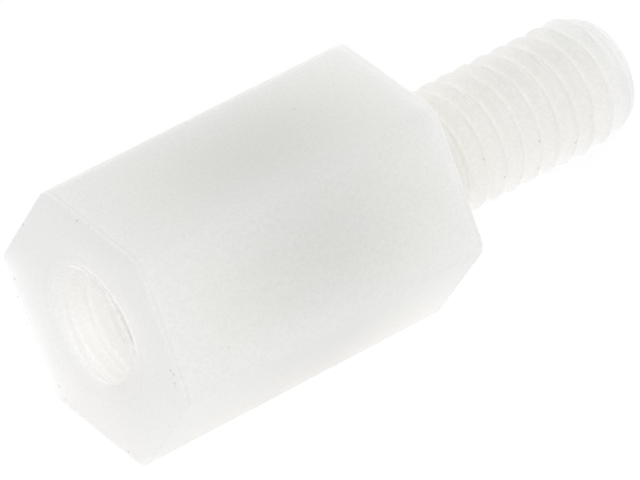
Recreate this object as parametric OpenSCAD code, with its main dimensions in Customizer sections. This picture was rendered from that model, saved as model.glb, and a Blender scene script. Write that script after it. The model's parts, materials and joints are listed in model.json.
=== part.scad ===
// Moulded hexagonal standoff with a screw stud at one end and a blind tapped bore at the other.
// It lies on one of its flats, with its axis along X, the stud towards +X and +Z up.
// The origin is on the resting flat, below the middle of the whole length.
// The screw threads are left plain here: the stud is drawn over its crests
// and the bore at its tapping diameter.

/* [Hexagonal body] */
// Width across the flats
body_af = 5.5; // [5:0.1:8]
// Length from the bored end to the shoulder
body_l = 8; // [6:0.5:30]
// Radius along the six long edges
edge_r = 0.4; // [0.1:0.05:0.6]
// Width of the fine chamfer round both ends
end_break = 0.05; // [0.05:0.05:0.2]

/* [Threaded stud] */
// Diameter over the thread crests
stud_d = 2.9; // [2.8:0.05:3]
// Length from the shoulder to the tip
stud_l = 6; // [3:0.5:12]
// Diameter of the flat end of the tip
tip_d = 2.3; // [2.1:0.05:2.5]
// Length of the lead-in cone of the tip
tip_l = 0.7; // [0.3:0.1:0.9]

/* [Tapped bore] */
// Tapping diameter of the bore
bore_d = 2.5; // [2.4:0.05:2.6]
// Diameter of the countersink at the mouth
mouth_d = 2.9; // [2.8:0.05:3.4]
// Full angle of that countersink
mouth_angle = 90; // [80:5:140]
// Full angle of the point at the end of the bore
point_angle = 120; // [90:2:150]
// Thickness left between that point and the shoulder
floor_t = 1.3; // [0.8:0.1:2.5]

/* [Hidden] */
$fn = 96;

// How far a solid or a cutter runs past the face that it joins or opens
lap = 0.5;

// The hexagon has its flats square to 0, 60, 120 ... degrees and its corners half way between
sides = 6;
side_angle = 360 / sides;
flat_r = body_af / 2;
half_side = flat_r * tan(side_angle / 2);
edge_trim = edge_r * tan(side_angle / 2);
edge_centre_r = (flat_r - edge_r) / cos(side_angle / 2);
corner_r = edge_centre_r + edge_r;

overall_l = body_l + stud_l;

// Depth of the countersink, of the full bore and of its point
sink_depth = (mouth_d - bore_d) / 2 / tan(mouth_angle / 2);
point_h = bore_d / 2 / tan(point_angle / 2);
full_bore_depth = body_l - floor_t - point_h;

module hex_section() {
    tangent_points = [
        for (i = [0 : sides - 1], s = [-1, 1])
            let (a = i * side_angle, half = s * (half_side - edge_trim))
            [flat_r * cos(a) - half * sin(a), flat_r * sin(a) + half * cos(a)]
    ];
    polygon(tangent_points);
    for (i = [0 : sides - 1])
        rotate((i + 0.5) * side_angle)
            translate([edge_centre_r, 0])
                circle(r = edge_r);
}

// Solid of revolution that trims the six corners at both ends at 45 degrees
module corner_trim() {
    end_r = corner_r - end_break;
    rotate_extrude()
        polygon([
            [0, 0],
            [end_r, 0],
            [end_r + lap, lap],
            [end_r + lap, body_l - lap],
            [end_r, body_l],
            [0, body_l]
        ]);
}

// Square bars, set on edge, that break the end of every flat at 45 degrees
module flat_breaks(z) {
    bar = end_break * sqrt(2);
    for (i = [0 : sides - 1])
        rotate(i * side_angle)
            translate([flat_r, 0, z])
                rotate([0, 45, 0])
                    cube([bar, 2 * corner_r, bar], center = true);
}

module hex_body() {
    difference() {
        intersection() {
            linear_extrude(body_l) hex_section();
            corner_trim();
        }
        flat_breaks(0);
        flat_breaks(body_l);
    }
}

module stud() {
    rotate_extrude()
        polygon([
            [0, -lap],
            [stud_d / 2, -lap],
            [stud_d / 2, stud_l - tip_l],
            [tip_d / 2, stud_l],
            [0, stud_l]
        ]);
}

module bore() {
    rotate_extrude()
        polygon([
            [0, -lap],
            [mouth_d / 2 + lap * tan(mouth_angle / 2), -lap],
            [bore_d / 2, sink_depth],
            [bore_d / 2, full_bore_depth],
            [0, full_bore_depth + point_h]
        ]);
}

module standoff() {
    color([0.92, 0.91, 0.89])
        translate([-overall_l / 2, 0, flat_r])
            rotate([0, 90, 0])
                difference() {
                    union() {
                        hex_body();
                        translate([0, 0, body_l]) stud();
                    }
                    bore();
                }
}

standoff();
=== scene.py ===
# %% [markdown]
# # A moulded nylon hex standoff
# A standoff holds a circuit board off a panel. This one is a single moulding in natural nylon:
# a hexagonal body, a threaded stud at one end and a tapped blind bore at the other.
# The CAD model brings the real size, the frame and the mounts. Here the same piece gets the
# things that CAD left plain: two helical threads, soft moulded edges and milky plastic.
#
# The first step loads the CAD model. Nothing of it is moved or changed.

# %% Load the frame
import json
import math
import bmesh
import bpy
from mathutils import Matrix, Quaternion, Vector


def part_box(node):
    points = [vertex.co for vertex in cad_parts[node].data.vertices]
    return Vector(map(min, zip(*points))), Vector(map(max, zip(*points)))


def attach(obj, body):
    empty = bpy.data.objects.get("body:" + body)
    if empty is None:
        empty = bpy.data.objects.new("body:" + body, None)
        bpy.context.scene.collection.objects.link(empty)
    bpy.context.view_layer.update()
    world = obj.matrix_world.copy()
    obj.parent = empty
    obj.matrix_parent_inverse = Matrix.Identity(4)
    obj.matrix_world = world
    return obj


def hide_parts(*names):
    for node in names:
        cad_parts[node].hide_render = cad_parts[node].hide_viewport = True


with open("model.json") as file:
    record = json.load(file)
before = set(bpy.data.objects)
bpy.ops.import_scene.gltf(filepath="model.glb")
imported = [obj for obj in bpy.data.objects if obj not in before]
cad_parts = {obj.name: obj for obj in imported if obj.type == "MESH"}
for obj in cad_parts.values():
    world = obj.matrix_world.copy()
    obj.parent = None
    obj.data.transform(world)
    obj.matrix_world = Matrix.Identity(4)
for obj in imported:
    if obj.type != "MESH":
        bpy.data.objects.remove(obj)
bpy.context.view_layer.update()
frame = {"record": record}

# %% [markdown]
# ## Sizes
# All sizes come from the frame: the box of the CAD solid gives the width across the flats and the
# two ends, and its mounts give the shoulder, the stud and the bore.
# Blender's mesh tools treat points closer than a tenth of a millimetre as one, so a part this small
# is modelled a thousand times larger, one unit to the millimetre, and shrunk at the very end.

# %% Sizes from the frame, in millimetres
MM = 1000.0
low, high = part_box("standoff")
mounts = {m["name"]: m for m in frame["record"]["mounts"]}


def mount_x(name):
    """Place of a mount along the axis."""
    return mounts[name]["pos_m"][0] * MM


across_flats = (high[2] - low[2]) * MM
axis_z = across_flats / 2
bored_end_x = mount_x("bored_end")
shoulder_x = mount_x("shoulder")
tip_x = high[0] * MM
stud_crest_r = mounts["stud_thread"]["dims"]["r_mm"]
bore_crest_r = mounts["bore_thread"]["dims"]["r_mm"]
bore_length = mounts["bore_thread"]["dims"]["length_mm"]
print("across flats", across_flats, "body", shoulder_x - bored_end_x, "stud", tip_x - shoulder_x)

# %% [markdown]
# ## Small helpers
# Blender's operators act on whatever is selected, and loading the frame leaves the CAD solid
# selected, so every piece starts from a clean slate. In edit mode the edges to work on are picked
# by their place, the way they would be picked by eye.

# %% Helpers for selecting and editing
def clean_slate():
    """Leave edit mode and select nothing."""
    if bpy.context.object and bpy.context.object.mode != "OBJECT":
        bpy.ops.object.mode_set(mode="OBJECT")
    bpy.ops.object.select_all(action="DESELECT")


def pick_edges(obj, test):
    """In edit mode, select the edges that pass the test, given the places of their two ends."""
    bpy.ops.mesh.select_mode(type="EDGE")
    bpy.ops.mesh.select_all(action="DESELECT")
    mesh = bmesh.from_edit_mesh(obj.data)
    picked = [e for e in mesh.edges if test(e.verts[0].co, e.verts[1].co)]
    for edge in picked:
        edge.select_set(True)
    bmesh.update_edit_mesh(obj.data)
    return len(picked)


def combine(target, tool, operation):
    """Join, cut or trim the target with another closed solid, which is used up."""
    clean_slate()
    change = target.modifiers.new(operation.lower(), "BOOLEAN")
    change.operation = operation
    change.object = tool
    change.solver = "EXACT"
    bpy.context.view_layer.objects.active = target
    bpy.ops.object.modifier_apply(modifier=change.name)
    bpy.data.objects.remove(tool)
    print(operation.lower(), "leaves", len(target.data.polygons), "faces")


# %% [markdown]
# ## The hexagonal body
# A hexagonal bar is a cylinder with six sides. Its corners are rounded by the mould, so the six long
# edges get a round bevel first. Then both end outlines, which by now run round the soft corners, get
# a much finer one. Bevelling in that order gives the ends one smooth rim.

# %% Hexagonal body
EDGE_R = 0.4
END_SOFT = 0.05
CORNER_R = across_flats / 2 / math.cos(math.pi / 6)
QUARTER_TURN = math.pi / 2

clean_slate()
bpy.ops.mesh.primitive_cylinder_add(
    vertices=6,
    radius=CORNER_R,
    depth=shoulder_x - bored_end_x,
    location=((bored_end_x + shoulder_x) / 2, 0, axis_z),
    rotation=(0, QUARTER_TURN, 0),
)
standoff = bpy.context.object
standoff.name = "standoff_moulding"
bpy.ops.object.transform_apply(location=True, rotation=True, scale=True)
bpy.ops.object.mode_set(mode="EDIT")
long_edges = pick_edges(standoff, lambda a, b: abs(a.x - b.x) > 1)
bpy.ops.mesh.bevel(offset=EDGE_R * math.tan(math.pi / 6), segments=8, profile=0.5)
ends = (bored_end_x, shoulder_x)
rim_edges = pick_edges(
    standoff,
    lambda a, b: abs(a.x - b.x) < 1e-3 and min(abs(a.x - x) for x in ends) < 1e-3,
)
bpy.ops.mesh.bevel(offset=END_SOFT, segments=4, profile=0.5)
bpy.ops.object.mode_set(mode="OBJECT")
print("rounded", long_edges, "long edges and", rim_edges, "rim edges")

# %% [markdown]
# ## A threaded rod
# Both threads are made the same way: the outside one is kept, the inside one is used as a tap.
# A thread is one ridge that winds up the rod, so only one pitch of its outline is drawn, and the
# Screw modifier sweeps it round while it climbs by one pitch a turn. The outline starts as one edge
# of a plane, cut into short steps, which are then lifted into a wave. A cosine of a 0.5 mm pitch and
# about half that depth has flanks near the 60 degrees of a metric thread, and the soft crests and
# roots of a moulded one. The sweep's turns only touch, so they are merged, and both ends are cut
# square and closed, because the Boolean modifier needs solids without holes.

# %% Threaded rod
PITCH = 0.5
OUTLINE_STEPS = 12
TURN_STEPS = 72


def threaded_rod(name, root_r, crest_r, from_x, to_x, start_turn=0.0):
    """A closed rod along X with a right-handed thread. start_turn winds the thread on, in turns."""
    clean_slate()
    lead = PITCH * (2 + start_turn % 1)
    bpy.ops.mesh.primitive_plane_add(size=PITCH, location=(from_x - lead, 0, axis_z))
    rod = bpy.context.object
    rod.name = name
    bpy.ops.object.mode_set(mode="EDIT")
    pick_edges(rod, lambda a, b: a.y < 0 and b.y < 0)
    bpy.ops.mesh.select_mode(type="VERT")
    bpy.ops.mesh.delete(type="VERT")
    bpy.ops.mesh.select_all(action="SELECT")
    bpy.ops.mesh.subdivide(number_cuts=OUTLINE_STEPS - 1)
    bpy.ops.object.mode_set(mode="OBJECT")
    for vertex in rod.data.vertices:
        wave = 0.5 + 0.5 * math.cos(2 * math.pi * vertex.co.x / PITCH)
        vertex.co.y = root_r + (crest_r - root_r) * wave
    turns = math.ceil((to_x - from_x) / PITCH) + 4
    sweep = rod.modifiers.new("sweep", "SCREW")
    sweep.axis = "X"
    sweep.angle = 2 * math.pi
    sweep.screw_offset = PITCH
    sweep.iterations = turns
    sweep.steps = TURN_STEPS
    sweep.render_steps = TURN_STEPS
    bpy.ops.object.modifier_apply(modifier=sweep.name)
    bpy.ops.object.transform_apply(location=True, rotation=True, scale=True)
    bpy.ops.object.mode_set(mode="EDIT")
    bpy.ops.mesh.select_all(action="SELECT")
    bpy.ops.mesh.remove_doubles(threshold=1e-4)
    for x, side in ((from_x, -1), (to_x, 1)):
        bpy.ops.mesh.select_all(action="SELECT")
        bpy.ops.mesh.bisect(
            plane_co=(x, 0, axis_z),
            plane_no=(side, 0, 0),
            use_fill=True,
            clear_outer=True,
            threshold=1e-5,
        )
    bpy.ops.mesh.select_all(action="SELECT")
    bpy.ops.mesh.normals_make_consistent(inside=False)
    bpy.ops.object.mode_set(mode="OBJECT")
    print(name, len(rod.data.polygons), "faces")
    return rod

# %% [markdown]
# ## Turned tools
# What is left of the stud and the bore is round: the blunt tip and the drilled hole.
# A lathe makes such a shape from a bar by giving it one radius after another, and so does this
# helper. It cuts rings into a plain cylinder at the chosen places and scales each to its radius.
# A ring of radius nothing is collapsed into a single point, so that the tool stays closed.

# %% Turned tool
ROUND_STEPS = 96


def turned_tool(name, outline):
    """A closed solid of revolution along X, through the (x, radius) pairs of its outline."""
    clean_slate()
    from_x, to_x = outline[0][0], outline[-1][0]
    bpy.ops.mesh.primitive_cylinder_add(
        vertices=ROUND_STEPS,
        radius=1,
        depth=to_x - from_x,
        location=((from_x + to_x) / 2, 0, axis_z),
        rotation=(0, QUARTER_TURN, 0),
    )
    tool = bpy.context.object
    tool.name = name
    bpy.ops.object.transform_apply(location=True, rotation=True, scale=True)
    bpy.ops.object.mode_set(mode="EDIT")
    for x, _ in outline[1:-1]:
        bpy.ops.mesh.select_all(action="SELECT")
        bpy.ops.mesh.bisect(plane_co=(x, 0, axis_z), plane_no=(1, 0, 0), threshold=1e-5)
    for x, radius in outline:
        pick_edges(tool, lambda a, b: max(abs(a.x - x), abs(b.x - x)) < 1e-3)
        if radius > 0:
            bpy.ops.transform.resize(value=(1, radius, radius), center_override=(x, 0, axis_z))
        else:
            bpy.ops.mesh.merge(type="COLLAPSE")
    bpy.ops.object.mode_set(mode="OBJECT")
    print(name, len(tool.data.polygons), "faces")
    return tool


# %% [markdown]
# ## The stud
# The real stud is moulded with a blunt lead-in, so that it starts easily in a nut, and the thread
# runs out on it. That is the shape left when a full threaded rod is turned down at its end, so the
# rod is trimmed by a plain turned blank, which is a little wider than the crests, draws in to the
# tip and is rounded there. The rod starts inside the body, which hides its square cut.

# %% Stud
ROOT_DEPTH = 0.22
OVERLAP = 0.5
TIP_R = 1.15
CONE_SLOPE = 0.43
TIP_SOFT = 0.24
STUD_START = 0.52
blank_r = stud_crest_r + 0.15
cone_x = tip_x - (blank_r - TIP_R) / CONE_SLOPE

stud = threaded_rod(
    "stud",
    stud_crest_r - ROOT_DEPTH,
    stud_crest_r,
    shoulder_x - OVERLAP,
    tip_x + OVERLAP,
    start_turn=STUD_START,
)
blank = turned_tool(
    "blank", [(shoulder_x - 2 * OVERLAP, blank_r), (cone_x, blank_r), (tip_x, TIP_R)]
)
bpy.ops.object.mode_set(mode="EDIT")
pick_edges(blank, lambda a, b: min(a.x, b.x) > tip_x - 1e-3)
bpy.ops.mesh.bevel(offset=TIP_SOFT, segments=4, profile=0.5)
bpy.ops.object.mode_set(mode="OBJECT")
combine(stud, blank, "INTERSECT")
combine(standoff, stud, "UNION")

# %% [markdown]
# ## The tapped bore
# A tap cuts the same wave into the bore wall, so the tool for it is a second threaded rod, whose
# crests make the roots of the inside thread. A drill goes in as well. It is a hair wider than
# the tap's roots, which leaves the inside crests flat, as a real tapping hole does. Its outline
# also has the blind point.
#
# The tap runs out through the bored end, so the mouth isn't quite round. It is widest where the
# groove leaves the face, and opposite that a thin edge of plastic stands over the groove. The
# start turn puts that thin edge at the upper right.

# %% Bore
BORE_ROOT_R = 1.45
BORE_START = 0.083
DRILL_MARGIN = 0.005
POINT_HALF_ANGLE = math.radians(60)
drill_r = bore_crest_r + DRILL_MARGIN
bore_end_x = mount_x("bore_thread") + bore_length / 2
point_x = bore_end_x + drill_r / math.tan(POINT_HALF_ANGLE)

tap = threaded_rod(
    "tap",
    bore_crest_r,
    BORE_ROOT_R,
    bored_end_x - OVERLAP,
    bore_end_x - PITCH,
    start_turn=BORE_START,
)
drill = turned_tool(
    "drill", [(bored_end_x - OVERLAP, drill_r), (bore_end_x, drill_r), (point_x, 0)]
)
combine(standoff, tap, "DIFFERENCE")
combine(standoff, drill, "DIFFERENCE")

# %% [markdown]
# ## Shading and real size
# The piece is shrunk to metres, like the CAD solid, and its scale is applied, so that its object sits
# unturned and unscaled at the origin. Faces that meet at a shallow angle are then shaded as one
# surface. The angle is small enough to keep the flats flat.

# %% Shrink and smooth
SMOOTH_ANGLE = math.radians(35)

clean_slate()
standoff.select_set(True)
bpy.context.view_layer.objects.active = standoff
standoff.scale = (1 / MM, 1 / MM, 1 / MM)
bpy.ops.object.transform_apply(location=True, rotation=True, scale=True)
bpy.ops.object.shade_smooth_by_angle(angle=SMOOTH_ANGLE)
print("piece is", [round(side * MM, 3) for side in standoff.dimensions], "mm")

# %% [markdown]
# ## Nylon
# Natural nylon is milky: light goes in, wanders a few millimetres and comes out elsewhere, a little
# warmer. One shader setting does most of this, a subsurface scatter that reaches right through the
# stud, and it softens the edges and threads the way real nylon does. The colour itself is nearly
# white, because the warm grey of a thick place comes from the long way of the light, not from paint.
#
# The nodes below are all placed by Object coordinates. The object is unscaled, so one unit is one
# metre, and a pattern of N repeats to the millimetre has a scale of N times a thousand.

# %% Nylon shader
NYLON = (0.96, 0.925, 0.855, 1)
SCATTER_DISTANCE = 0.004

nylon = bpy.data.materials.new("natural_nylon")
nylon.use_nodes = True
nodes = nylon.node_tree.nodes
links = nylon.node_tree.links
shader = nodes["Principled BSDF"]
shader.inputs["IOR"].default_value = 1.53
shader.inputs["Subsurface Weight"].default_value = 1.0
shader.inputs["Subsurface Radius"].default_value = (1.0, 1.0, 1.0)
shader.inputs["Subsurface Scale"].default_value = SCATTER_DISTANCE
place = nodes.new("ShaderNodeTexCoord").outputs["Object"]


def noise(per_mm, detail):
    """A noise of so many lumps to the millimetre. Returns its grey value, about 0.5 on average."""
    texture = nodes.new("ShaderNodeTexNoise")
    texture.inputs["Scale"].default_value = per_mm * MM
    texture.inputs["Detail"].default_value = detail
    links.new(place, texture.inputs["Vector"])
    return texture.outputs["Fac"]


def calculate(operation, first, second):
    """A Math node on one or two values, each a socket or a plain number. Returns its result."""
    step = nodes.new("ShaderNodeMath")
    step.operation = operation
    for value, socket in zip((first, second), step.inputs):
        if isinstance(value, bpy.types.NodeSocket):
            links.new(value, socket)
        else:
            socket.default_value = value
    return step.outputs[0]


def spread(value, from_low, from_high, to_low, to_high):
    """Stretch a range of values to another one, and hold it at its ends."""
    step = nodes.new("ShaderNodeMapRange")
    links.new(value, step.inputs["Value"])
    for name, number in (
        ("From Min", from_low),
        ("From Max", from_high),
        ("To Min", to_low),
        ("To Max", to_high),
    ):
        step.inputs[name].default_value = number
    return step.outputs["Result"]


# %% [markdown]
# ## Where dirt gathers, and where shade is painted
# A small moulding is tumbled with its neighbours, and the dust that it picks up catches on sharp
# edges: the rims of both ends and the crests of the stud. The thin edge of plastic where the thread
# leaves the bore gets painted shade instead. Such places are found by simple sums on the position:
# how far it is from the plane of the nearest end, and how far from the axis. Each sum is a Math node,
# and spread() turns it into a soft mask.

# %% Places on the rims, on the crests and round the mouth
RIM_WIDTH = 0.07
CREST_BAND = 0.015
EDGE_BLUR = 0.04
rim_r = across_flats / 2 - 0.1

along = nodes.new("ShaderNodeSeparateXYZ")
links.new(place, along.inputs["Vector"])
middle_x = (bored_end_x + shoulder_x) / 2 / MM
half_body = (shoulder_x - bored_end_x) / 2 / MM
from_middle = calculate("ABSOLUTE", calculate("SUBTRACT", along.outputs["X"], middle_x), 0.0)
from_end = calculate("ABSOLUTE", calculate("SUBTRACT", from_middle, half_body), 0.0)
height = calculate("SUBTRACT", along.outputs["Z"], axis_z / MM)
across_square = calculate("POWER", along.outputs["Y"], 2.0)
height_square = calculate("POWER", height, 2.0)
from_axis = calculate("SQRT", calculate("ADD", across_square, height_square), 0.0)


def between(value, start, end):
    """1 from start to end, in millimetres, with soft edges, and 0 elsewhere."""
    rise = spread(value, (start - EDGE_BLUR) / MM, start / MM, 0.0, 1.0)
    fall = spread(value, end / MM, (end + EDGE_BLUR) / MM, 1.0, 0.0)
    return calculate("MULTIPLY", rise, fall)


outside = calculate("GREATER_THAN", from_axis, rim_r / MM)
on_rim = calculate("MULTIPLY", outside, calculate("LESS_THAN", from_end, RIM_WIDTH / MM))
on_stud = calculate("GREATER_THAN", along.outputs["X"], shoulder_x / MM)
at_crest = calculate("GREATER_THAN", from_axis, (stud_crest_r - CREST_BAND) / MM)
on_crest = calculate("MULTIPLY", on_stud, at_crest)
on_edges = calculate("MAXIMUM", on_rim, on_crest)
on_face = calculate("LESS_THAN", along.outputs["X"], (bored_end_x + EDGE_BLUR) / MM)
print("a rim is", RIM_WIDTH, "mm wide and starts", round(rim_r, 2), "mm from the axis")

# %% [markdown]
# ## Specks, smears and painted shade
# A Voronoi texture scatters points through space, and a ball round each point is dark where the
# surface cuts it. Every cell also has a random colour, and only the cells whose red is high get
# a ball, the higher the larger. The rims and crests get many small ones, the rest a few faint ones,
# such as scorched grains in the melt.
#
# The smears are softer. One is a faint dark ring round the mouth, darker towards the upper right, and
# one runs along the rims. A noise breaks them up. A dark line on the thin edge of the first turn, on
# the same side of the mouth, is painted shade. It stands in for the shade that a thinner, undercut lip
# would have there.


# %% Specks, smears and painted shade
def specks(per_mm, share, largest_mm):
    """Dark balls of up to largest_mm radius in a share of the cells. 1 in a speck, 0 elsewhere."""
    cells = nodes.new("ShaderNodeTexVoronoi")
    cells.inputs["Scale"].default_value = per_mm * MM
    links.new(place, cells.inputs["Vector"])
    parts = nodes.new("ShaderNodeSeparateColor")
    links.new(cells.outputs["Color"], parts.inputs["Color"])
    reach = spread(parts.outputs["Red"], 1 - share, 1.0, 0.0, largest_mm * per_mm)
    inside = calculate("SUBTRACT", reach, cells.outputs["Distance"])
    return spread(inside, 0.0, 0.5 * largest_mm * per_mm, 0.0, 1.0)


SPECK_R = 0.045
EDGE_SPECKS_PER_MM = 6.0
LONE_SPECKS_PER_MM = 1.6
SPECK_SHARE = 0.5
LONE_SPECK = 0.5
# A faint dark ring round the mouth, darker towards the upper right.
MOUTH_RING_R = 1.65
MOUTH_RING_WIDTH = 0.02
MOUTH_RING_STRENGTH = 0.15
MOUTH_RING_FAINTEST = 0.45
RIM_SMEAR = 0.2
RIM_SMEAR_FROM = 0.06
RIM_SMEAR_TO = 0.1
PATCHES_PER_MM = 3.0
EDGE_TURN = math.radians(60)

patches = spread(noise(PATCHES_PER_MM, 3.0), 0.3, 0.5, 0.4, 1.0)
rise = calculate("MULTIPLY", height, math.sin(EDGE_TURN))
run = calculate("MULTIPLY", along.outputs["Y"], math.cos(EDGE_TURN))
towards_edge = calculate("SUBTRACT", rise, run)
upper_right = spread(towards_edge, 0.8 / MM, 1.2 / MM, 0.0, 1.0)
# Painted shade: a dark line on the thin edge of the first turn, at the upper right of the mouth.
mouth_edge = between(from_axis, bore_crest_r, BORE_ROOT_R + 0.02)
painted_lip_shade = calculate("MULTIPLY", calculate("MULTIPLY", mouth_edge, upper_right), on_face)
# The faint dark ring round the mouth is darker towards the upper right.
faint = MOUTH_RING_FAINTEST * MOUTH_RING_STRENGTH
mouth_ring_fade = spread(towards_edge, -0.5 / MM, 1.2 / MM, faint, MOUTH_RING_STRENGTH)
mouth_ring_band = between(from_axis, MOUTH_RING_R, MOUTH_RING_R + MOUTH_RING_WIDTH)
mouth_ring = calculate("MULTIPLY", mouth_ring_band, mouth_ring_fade)
along_rim = calculate("MULTIPLY", between(from_end, RIM_SMEAR_FROM, RIM_SMEAR_TO), outside)
smears = calculate("MULTIPLY", mouth_ring, on_face)
smears = calculate("MAXIMUM", smears, calculate("MULTIPLY", along_rim, RIM_SMEAR))
smears = calculate("MULTIPLY", smears, patches)
edge_specks = specks(EDGE_SPECKS_PER_MM, SPECK_SHARE, SPECK_R)
edge_specks = calculate("MULTIPLY", edge_specks, on_edges)
lone_specks = specks(LONE_SPECKS_PER_MM, SPECK_SHARE, SPECK_R)
lone_specks = calculate("MULTIPLY", lone_specks, LONE_SPECK)
dirt = calculate("MAXIMUM", calculate("MAXIMUM", edge_specks, lone_specks), smears)
print("specks reach", SPECK_R, "mm and the collar's ring is", MOUTH_RING_R, "mm from the axis")

# %% [markdown]
# ## Colour, sheen and grain
# The melt is a little cloudy, on the scale of the wall, and the surface has the fine grain of the mould.
# Both go into the colour, as a change of a percent or two, the dirt is laid on top, and the painted
# shade at the mouth on top of that. The same grain makes the sheen uneven and, as a bump of a few
# thousandths of a millimetre, breaks up reflections.

# %% Colour, sheen and grain
CLOUD_DEPTH = 0.01
GRAIN_DEPTH = 0.04
DIRT_COLOUR = (0.7, 0.67, 0.62, 1)
# Colour of the painted shade on the thin edge at the mouth.
LIP_SHADE_COLOUR = (0.1, 0.1, 0.1, 1)
CLOUDS_PER_MM = 0.45
GRAIN_PER_MM = 14.0
SMOOTHEST = 0.46
ROUGHEST = 0.62
BUMP_HEIGHT = 0.006
BUMP_STRENGTH = 0.5

clouds = noise(CLOUDS_PER_MM, 3.0)
grain = noise(GRAIN_PER_MM, 2.0)
cloud_shade = spread(clouds, 0.3, 0.7, 1 - CLOUD_DEPTH, 1 + CLOUD_DEPTH)
grain_shade = spread(grain, 0.25, 0.75, 1 - GRAIN_DEPTH, 1 + GRAIN_DEPTH)
melt = nodes.new("ShaderNodeVectorMath")
melt.operation = "SCALE"
melt.inputs[0].default_value = NYLON[:3]
links.new(calculate("MULTIPLY", cloud_shade, grain_shade), melt.inputs["Scale"])


def lay_on(below, mask, colour):
    """The colour laid over what is below, where the mask is 1."""
    mix = nodes.new("ShaderNodeMix")
    mix.data_type = "RGBA"
    links.new(mask, mix.inputs["Factor"])
    links.new(below, mix.inputs["A"])
    mix.inputs["B"].default_value = colour
    return mix.outputs["Result"]


dusty = lay_on(melt.outputs[0], dirt, DIRT_COLOUR)
# The painted shade at the mouth is laid over the dusty colour.
links.new(lay_on(dusty, painted_lip_shade, LIP_SHADE_COLOUR), shader.inputs["Base Color"])
links.new(spread(grain, 0.3, 0.7, SMOOTHEST, ROUGHEST), shader.inputs["Roughness"])
bump = nodes.new("ShaderNodeBump")
bump.inputs["Strength"].default_value = BUMP_STRENGTH
bump.inputs["Distance"].default_value = BUMP_HEIGHT / MM
links.new(grain, bump.inputs["Height"])
links.new(bump.outputs["Normal"], shader.inputs["Normal"])

standoff.data.materials.clear()
standoff.data.materials.append(nylon)
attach(standoff, "root")
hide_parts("standoff")
print("the nylon has", len(nodes), "nodes")

# %% [markdown]
# ## The light table
# Milky plastic is shown on a light table: a white sheet that glows a little. The part is then lit from
# below as well, which is what makes its lower edges shine. The sheet is also the backdrop, so rays
# that show it directly get mostly plain white, and a part of its real shading, which keeps the
# soft shadow. It lies a hair below the part, so that the two surfaces don't fall in one plane.
# From underneath the sheet is clear, so that the part can be looked at from below as well.

# %% Light table
TABLE_SIDE = 4.0
AIR_GAP = 0.00002
SHEET_WHITE = (0.9, 0.9, 0.9, 1)
TABLE_GLOW = 0.385
DAYLIGHT = (0.98, 0.99, 1.04, 1)
SHADOW_SHARE = 0.2


def seen_directly(tree):
    """1 for rays that show a surface itself: from the camera, in a gloss or through a clear body."""
    path = tree.nodes.new("ShaderNodeLightPath")
    highest = path.outputs["Is Camera Ray"]
    for name in ("Is Glossy Ray", "Is Transmission Ray"):
        either = tree.nodes.new("ShaderNodeMath")
        either.operation = "MAXIMUM"
        tree.links.new(highest, either.inputs[0])
        tree.links.new(path.outputs[name], either.inputs[1])
        highest = either.outputs[0]
    return highest


clean_slate()
bpy.ops.mesh.primitive_plane_add(size=TABLE_SIDE, location=(0, 0, low[2] - AIR_GAP))
table = bpy.context.object
table.name = "table"
bpy.ops.object.transform_apply(location=True, rotation=True, scale=True)
sheet = bpy.data.materials.new("glowing_white_sheet")
sheet.use_nodes = True
tree = sheet.node_tree
surface = tree.nodes["Principled BSDF"]
surface.inputs["Base Color"].default_value = SHEET_WHITE
surface.inputs["Roughness"].default_value = 0.8
surface.inputs["Specular IOR Level"].default_value = 0.0
surface.inputs["Emission Color"].default_value = DAYLIGHT
surface.inputs["Emission Strength"].default_value = TABLE_GLOW
white = tree.nodes.new("ShaderNodeEmission")
share = tree.nodes.new("ShaderNodeMath")
share.operation = "MULTIPLY"
share.inputs[1].default_value = 1 - SHADOW_SHARE
mix = tree.nodes.new("ShaderNodeMixShader")
tree.links.new(seen_directly(tree), share.inputs[0])
tree.links.new(share.outputs[0], mix.inputs["Fac"])
tree.links.new(surface.outputs[0], mix.inputs[1])
tree.links.new(white.outputs[0], mix.inputs[2])
facing = tree.nodes.new("ShaderNodeNewGeometry")
clear = tree.nodes.new("ShaderNodeBsdfTransparent")
one_sided = tree.nodes.new("ShaderNodeMixShader")
tree.links.new(facing.outputs["Backfacing"], one_sided.inputs["Fac"])
tree.links.new(mix.outputs[0], one_sided.inputs[1])
tree.links.new(clear.outputs[0], one_sided.inputs[2])
tree.links.new(one_sided.outputs[0], tree.nodes["Material Output"].inputs["Surface"])
table.data.materials.append(sheet)
print("table is", TABLE_SIDE, "m wide and glows at", TABLE_GLOW)

# %% [markdown]
# ## Studio light
# Soft lamps shape the part: a large softbox high in front, and three low strips behind, which
# light the back of the body and so shine through its edges. The rest of the room is a dim even
# sky. A lamp's brightness is easier to think of as that of its panel, where 1 would look
# white, so the helper works out the power from it.

# %% Studio light
SKY_LEVEL = 0.3
STUDIO_RADIUS = 0.3
KEY_ELEVATION = math.radians(57)
KEY_SIDE = 0.22
KEY_LEVEL = 2.7
STRIP_ELEVATION = math.radians(12)
STRIP_WIDTH = 0.24
STRIP_HEIGHT = 0.12
STRIP_LEVEL = 1.9
STRIP_TURN = math.radians(50)
FRONT = math.radians(-38.5)
BACK = FRONT + math.pi


def direction(azimuth, elevation):
    """Unit vector from the part. Azimuth 0 is the front, -Y, and grows towards +X."""
    return Vector(
        (
            math.sin(azimuth) * math.cos(elevation),
            -math.cos(azimuth) * math.cos(elevation),
            math.sin(elevation),
        )
    )


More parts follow.
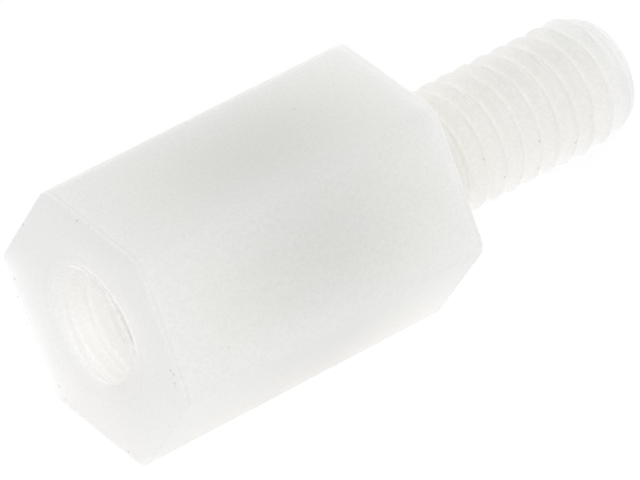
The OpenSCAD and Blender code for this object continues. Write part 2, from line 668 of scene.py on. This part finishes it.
def softbox(name, azimuth, elevation, width, height, brightness):
    """A rectangular lamp that faces the part."""
    data = bpy.data.lights.new(name, "AREA")
    data.shape = "RECTANGLE"
    data.size = width
    data.size_y = height
    data.energy = brightness * math.pi * width * height
    lamp = bpy.data.objects.new(name, data)
    bpy.context.collection.objects.link(lamp)
    towards = direction(azimuth, elevation)
    lamp.location = towards * STUDIO_RADIUS
    lamp.rotation_euler = towards.to_track_quat("Z", "Y").to_euler()
    lamp.visible_camera = False
    print(name, "has", round(data.energy, 4), "watts")


softbox("key_softbox", FRONT, KEY_ELEVATION, KEY_SIDE, KEY_SIDE, KEY_LEVEL)
for side, turn in (("left", STRIP_TURN), ("middle", 0), ("right", -STRIP_TURN)):
    softbox(
        "back_strip_" + side,
        BACK + turn,
        STRIP_ELEVATION,
        STRIP_WIDTH,
        STRIP_HEIGHT,
        STRIP_LEVEL,
    )

world = bpy.data.worlds.new("studio")
bpy.context.scene.world = world
world.use_nodes = True
tree = world.node_tree
sky = tree.nodes["Background"]
sky.inputs["Color"].default_value = (1, 1, 1, 1)
sky.inputs["Strength"].default_value = SKY_LEVEL
backdrop = tree.nodes.new("ShaderNodeBackground")
backdrop.inputs["Color"].default_value = (1, 1, 1, 1)
mix = tree.nodes.new("ShaderNodeMixShader")
tree.links.new(seen_directly(tree), mix.inputs["Fac"])
tree.links.new(sky.outputs[0], mix.inputs[1])
tree.links.new(backdrop.outputs[0], mix.inputs[2])
tree.links.new(mix.outputs[0], tree.nodes["World Output"].inputs["Surface"])
bpy.context.scene.view_settings.view_transform = "Standard"

# %% [markdown]
# ## Light inside the bore
# Real nylon walls let light into the bore from all round. Cycles follows such light only at the first
# surface that the camera sees and takes every later one as solid, which leaves the bore too dark.
# A very small, very weak lamp on the axis stands in for the light that the walls would let through.

# %% Lamp in the bore
BORE_LAMP_WATTS = 0.000019
BORE_LAMP_DEPTH = 1.1
BORE_LAMP_R = 0.4
BORE_LAMP_COLOUR = (0.92, 0.97, 1.12)

inner_data = bpy.data.lights.new("bore_glow", "POINT")
inner_data.energy = BORE_LAMP_WATTS
inner_data.color = BORE_LAMP_COLOUR
inner_data.shadow_soft_size = BORE_LAMP_R / MM
inner_lamp = bpy.data.objects.new("bore_glow", inner_data)
bpy.context.collection.objects.link(inner_lamp)
inner_lamp.location = ((bored_end_x + BORE_LAMP_DEPTH) / MM, 0, axis_z / MM)
inner_lamp.visible_camera = False
print("the lamp stands", BORE_LAMP_DEPTH, "mm inside the bore")

# %% [markdown]
# ## Camera
# A long lens, from above and in front of the bored end. It shows the bore, three flats and the stud.

# %% Camera
AZIMUTH = math.radians(-38.516)
ELEVATION = math.radians(38.428)
ROLL = math.radians(-0.93)
DISTANCE = 0.15626
LENS = 416.6
aim = Vector((-0.00149, -0.0007, axis_z / MM))

back = direction(AZIMUTH, ELEVATION)
camera_data = bpy.data.cameras.new("camera")
camera_data.lens = LENS
camera_data.clip_start = 0.01
camera_data.clip_end = 10
camera = bpy.data.objects.new("camera", camera_data)
bpy.context.collection.objects.link(camera)
camera.location = aim + back * DISTANCE
camera.rotation_mode = "QUATERNION"
camera.rotation_quaternion = back.to_track_quat("Z", "Y") @ Quaternion((0, 0, 1), ROLL)
bpy.context.scene.camera = camera
print("camera is", round(DISTANCE * MM), "mm away, with a", LENS, "mm lens")
